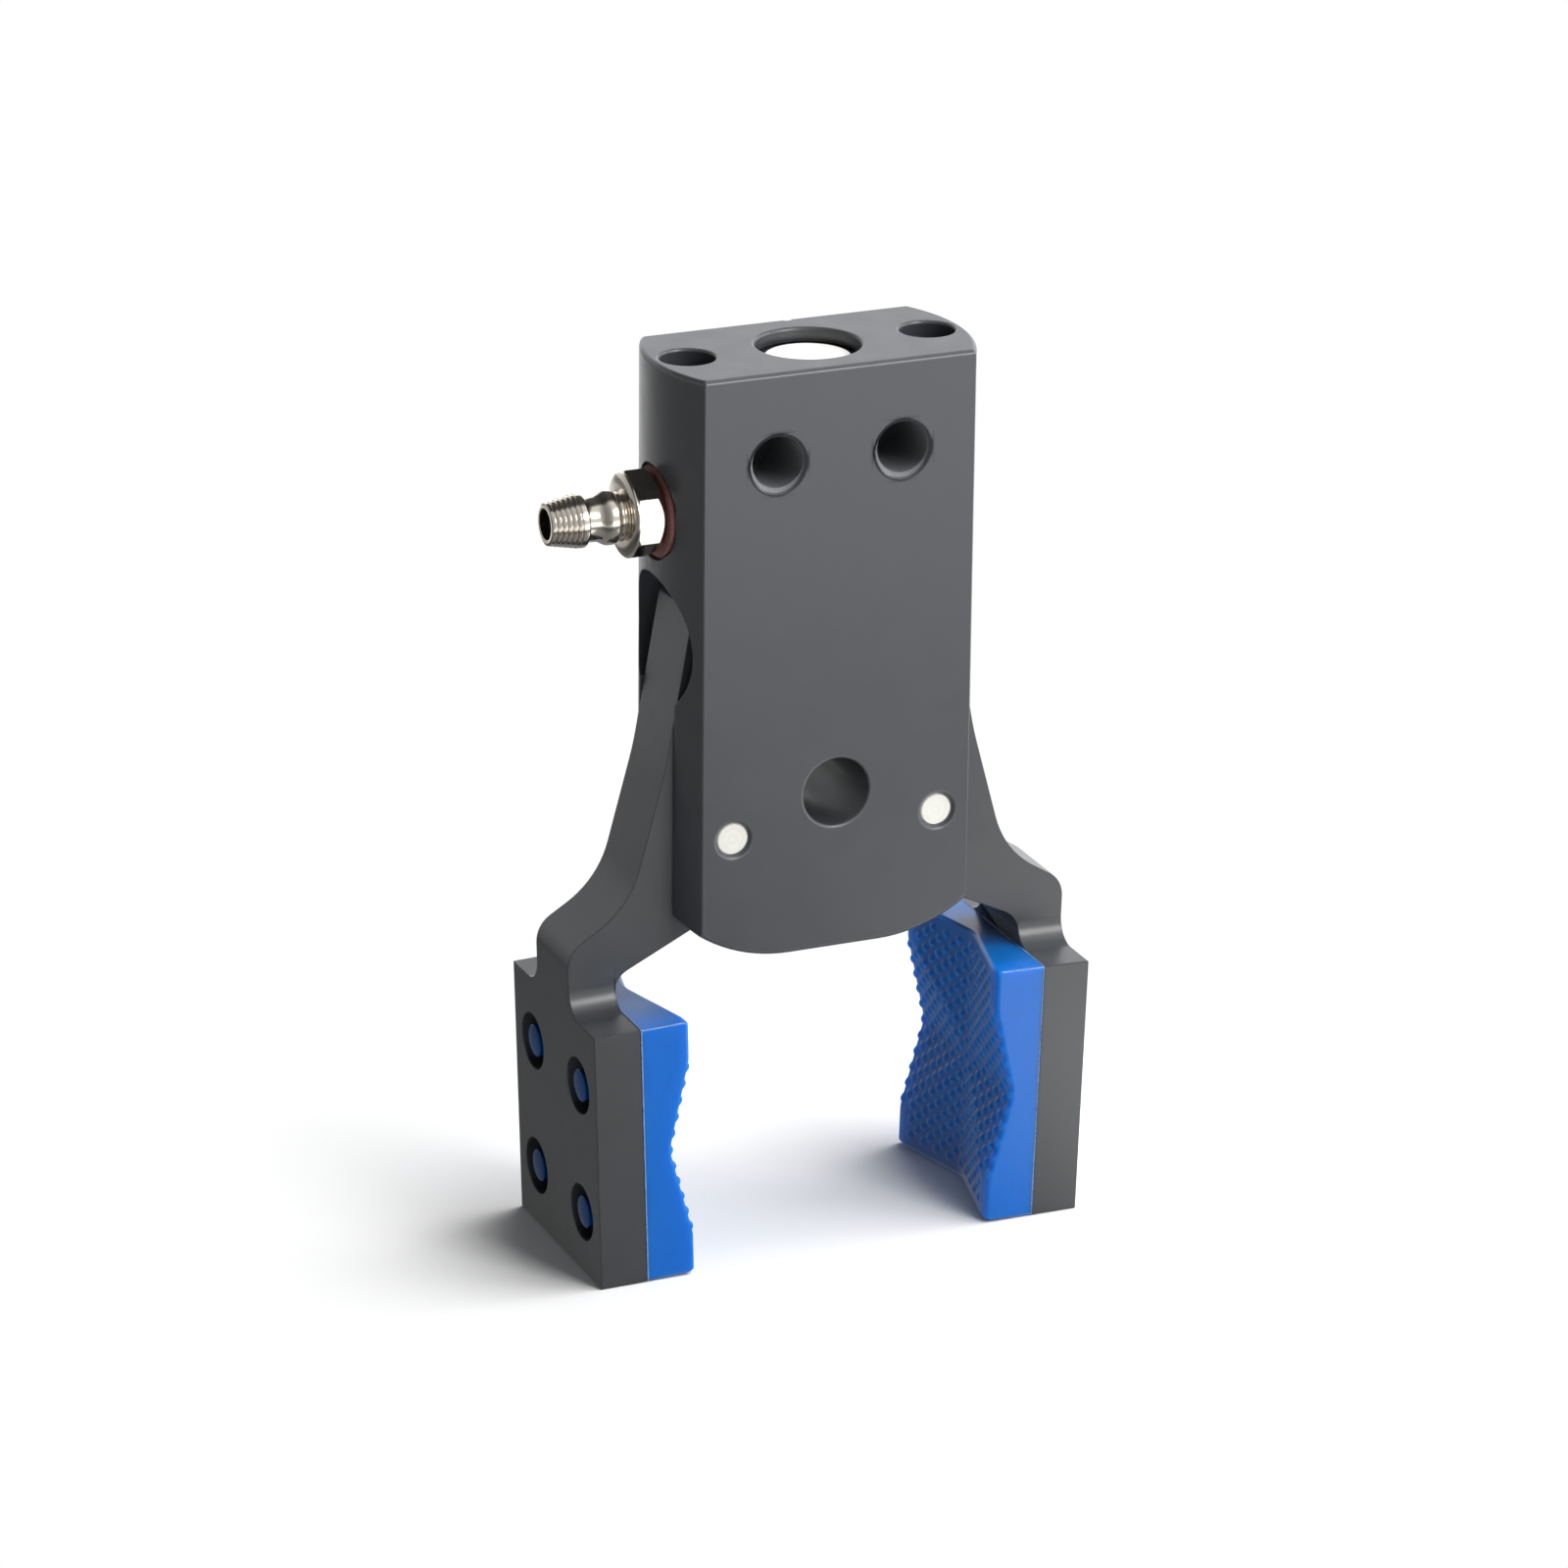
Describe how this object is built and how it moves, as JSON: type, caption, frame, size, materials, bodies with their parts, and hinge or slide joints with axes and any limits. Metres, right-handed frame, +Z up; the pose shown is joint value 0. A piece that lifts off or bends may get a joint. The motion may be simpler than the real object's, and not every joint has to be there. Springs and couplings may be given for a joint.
{
  "type": "pneumatic mini gripper",
  "caption": "Small air-driven gripper: a slotted round body with a hose barb, two swinging fingers and grooved soft grip pads.",
  "frame": {"origin": "centre of the two threaded holes in the body's top face, which is the centre of that face", "axes": "+Z up out of the top face, +Y to the back across the flats, +X to the right finger; the hose fitting points along -X"},
  "size_m": [0.0497, 0.02, 0.084],
  "materials": {
    "body_anodised": "satin anodised",
    "finger_anodised": "satin anodised",
    "pad_blue": "moulded, slightly translucent",
    "fitting_nickel": "polished nickel plate",
    "washer_fibre": "pressed fibre",
    "plug_bright": "fine turned",
    "ring_black": "phosphated",
    "pin_steel": "ground",
    "bush_bronze": "sintered",
    "piston_brass": "turned",
    "seal_rubber": "moulded",
    "spring_steel": "drawn wire"
  },
  "bodies": {
    "gripper": {"gripper_body": "body_anodised", "end_plug": "plug_bright", "plug_o_ring": "seal_rubber", "plug_retaining_ring": "ring_black", "fitting_washer": "washer_fibre", "hose_fitting": "fitting_nickel", "pivot_pin_left": "pin_steel", "pivot_pin_right": "pin_steel", "return_spring_left": "spring_steel", "return_spring_right": "spring_steel"},
    "left_finger": {"finger_left": "finger_anodised", "pad_left": "pad_blue", "finger_bush_left": "bush_bronze", "contact_pin_left": "pin_steel"},
    "right_finger": {"finger_right": "finger_anodised", "pad_right": "pad_blue", "finger_bush_right": "bush_bronze", "contact_pin_right": "pin_steel"},
    "left_piston": {"piston_left": "piston_brass", "piston_seal_left": "seal_rubber"},
    "right_piston": {"piston_right": "piston_brass", "piston_seal_right": "seal_rubber"}
  },
  "joints": [
    {"name": "finger_left_swing", "type": "hinge", "parent": "gripper", "child": "left_finger", "pos_m": [-0.01, 0, -0.0432], "axis": [0, -1, 0], "range_deg": [0, 12], "stiffness_Nm_per_rad": 0.09, "springref_deg": -22.92, "deforming": ["return_spring_left"]},
    {"name": "finger_right_swing", "type": "hinge", "parent": "gripper", "child": "right_finger", "pos_m": [0.01, 0, -0.0432], "axis": [0, 1, 0], "range_deg": [0, 12], "stiffness_Nm_per_rad": 0.09, "springref_deg": -22.92, "deforming": ["return_spring_right"]},
    {"name": "piston_left_stroke", "type": "slide", "parent": "gripper", "child": "left_piston", "axis": [-1, 0, 0], "range_m": [0, 0.00361]},
    {"name": "piston_right_stroke", "type": "slide", "parent": "gripper", "child": "right_piston", "axis": [1, 0, 0], "range_m": [0, 0.00361]}
  ],
  "couplings": [
    {"joint": "finger_right_swing", "follows": "finger_left_swing", "ratio": 1},
    {"joint": "piston_left_stroke", "follows": "finger_left_swing", "m_per_rad": 0.0172},
    {"joint": "piston_right_stroke", "follows": "finger_left_swing", "m_per_rad": 0.0172}
  ]
}
